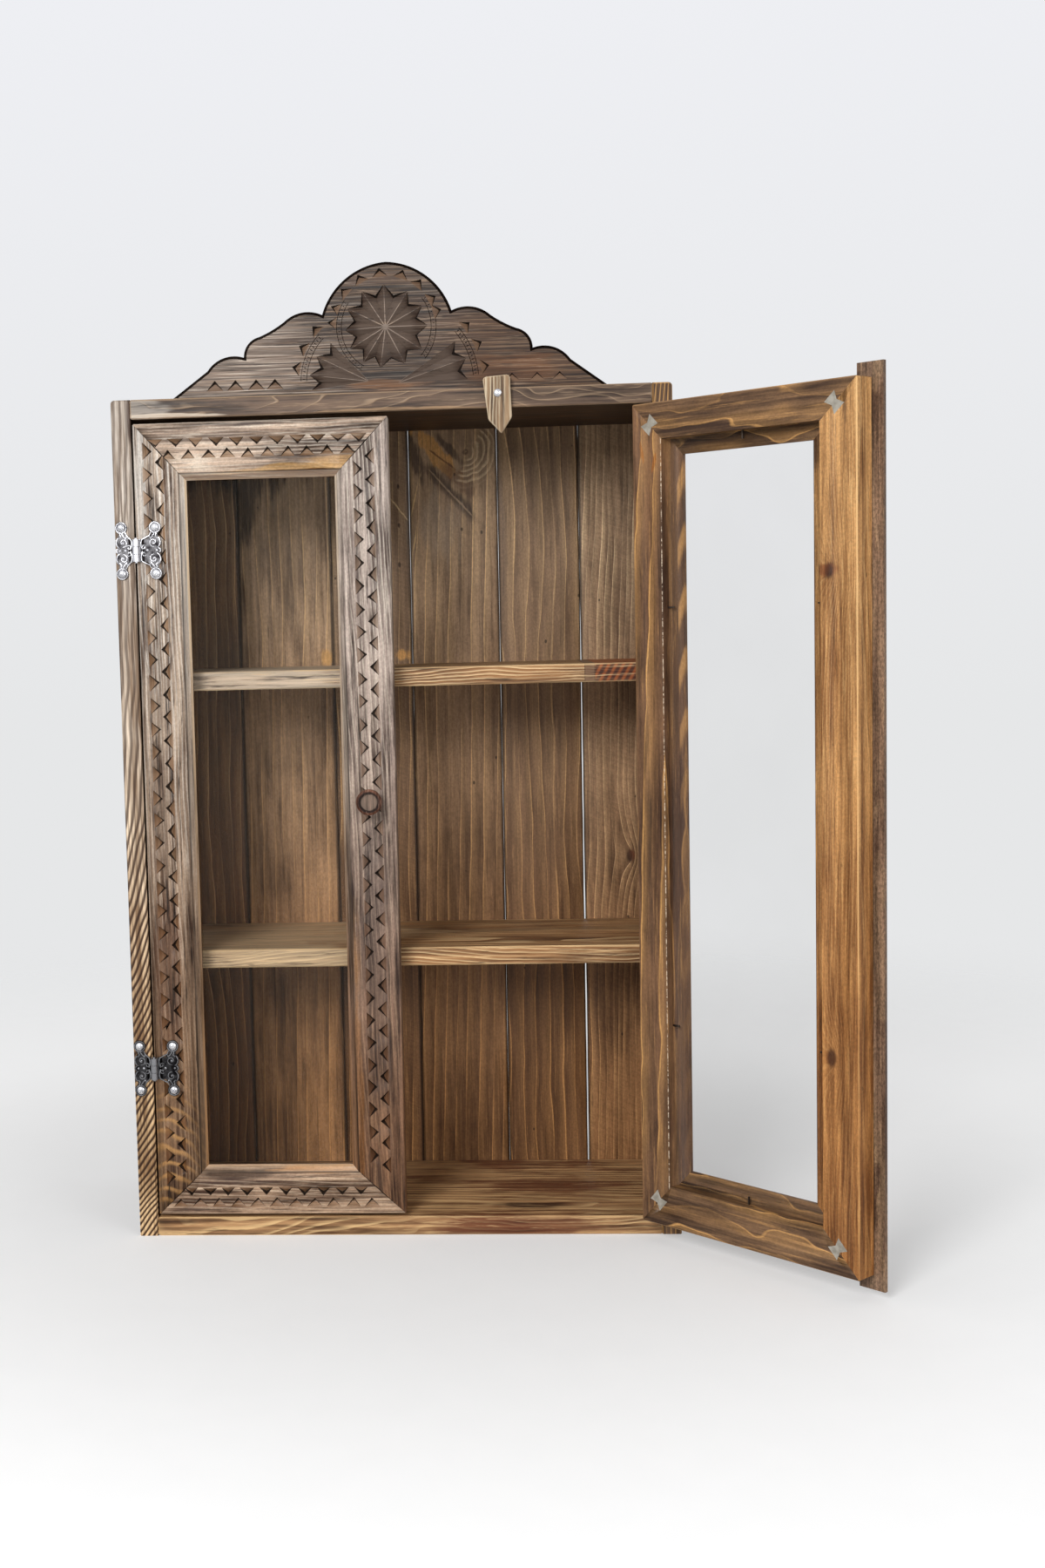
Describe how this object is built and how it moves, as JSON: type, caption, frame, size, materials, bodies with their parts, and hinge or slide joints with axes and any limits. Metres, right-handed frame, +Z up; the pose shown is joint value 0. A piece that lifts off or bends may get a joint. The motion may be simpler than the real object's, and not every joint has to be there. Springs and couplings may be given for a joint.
{
  "type": "medicine cabinet",
  "caption": "Wall cabinet with a scalloped crest, plank back, shelves, glazed mitred doors on butterfly hinges and a wooden turn button.",
  "frame": {"origin": "middle of the base the cabinet stands on", "axes": "+Z up, +X to the viewer's right, -Y out of the front where the doors are"},
  "size_m": [0.5587, 0.3219, 0.7575],
  "materials": {
    "case_pine": "brown stain, hand rubbed, satin",
    "door_pine": "brown stain, hand rubbed, satin",
    "crest_pine": "dark brown stain, satin",
    "plank_pine": "brown stain, sawn, satin",
    "button_pine": "worn brown stain",
    "dowel_wood": "bare",
    "turned_knob": "dark lacquer, semi-gloss",
    "clear_glass": "clear float glass",
    "hinge_nickel": "antique nickel plate",
    "bright_screw": "bright plated",
    "nail_steel": "plain steel",
    "grey_key": "grey plastic"
  },
  "bodies": {
    "case": {"back_plank_1": "plank_pine", "back_plank_2": "plank_pine", "back_plank_3": "plank_pine", "back_plank_4": "plank_pine", "back_plank_5": "plank_pine", "back_plank_6": "plank_pine", "bottom_board": "case_pine", "case_nails": "nail_steel", "crest_board": "crest_pine", "crest_dowels": "dowel_wood", "left_hinge_case_screws": "bright_screw", "left_lower_hinge_case_leaf": "hinge_nickel", "left_lower_hinge_pin": "hinge_nickel", "left_side": "case_pine", "left_upper_hinge_case_leaf": "hinge_nickel", "left_upper_hinge_pin": "hinge_nickel", "lower_shelf": "case_pine", "plank_nails": "nail_steel", "right_hinge_case_screws": "bright_screw", "right_lower_hinge_case_leaf": "hinge_nickel", "right_lower_hinge_pin": "hinge_nickel", "right_side": "case_pine", "right_upper_hinge_case_leaf": "hinge_nickel", "right_upper_hinge_pin": "hinge_nickel", "top_board": "case_pine", "turn_button_screw": "bright_screw", "upper_shelf": "case_pine"},
    "left_door": {"left_door_bottom_rail": "door_pine", "left_door_corner_keys": "grey_key", "left_door_free_stile": "door_pine", "left_door_glass": "clear_glass", "left_door_glazing_brads": "nail_steel", "left_door_hinge_stile": "door_pine", "left_door_knob": "turned_knob", "left_door_top_rail": "door_pine", "left_hinge_door_screws": "bright_screw", "left_lower_hinge_door_leaf": "hinge_nickel", "left_upper_hinge_door_leaf": "hinge_nickel"},
    "right_door": {"right_door_bottom_rail": "door_pine", "right_door_corner_keys": "grey_key", "right_door_free_stile": "door_pine", "right_door_glass": "clear_glass", "right_door_glazing_brads": "nail_steel", "right_door_hinge_stile": "door_pine", "right_door_knob": "turned_knob", "right_door_lapping_strip": "door_pine", "right_door_top_rail": "door_pine", "right_hinge_door_screws": "bright_screw", "right_lower_hinge_door_leaf": "hinge_nickel", "right_upper_hinge_door_leaf": "hinge_nickel"},
    "turn_button": {"turn_button": "button_pine"}
  },
  "joints": [
    {"name": "left_door_hinge", "type": "hinge", "parent": "case", "child": "left_door", "pos_m": [-0.1982, -0.0857, 0.33], "axis": [0, 0, -1], "range_deg": [0, 175]},
    {"name": "right_door_hinge", "type": "hinge", "parent": "case", "child": "right_door", "pos_m": [0.1982, -0.0857, 0.33], "axis": [0, 0, 1], "range_deg": [-135, 40]},
    {"name": "turn_button_pivot", "type": "hinge", "parent": "case", "child": "turn_button", "pos_m": [0.08325, -0.0825, 0.6554], "axis": [0, 1, 0], "continuous": true}
  ]
}
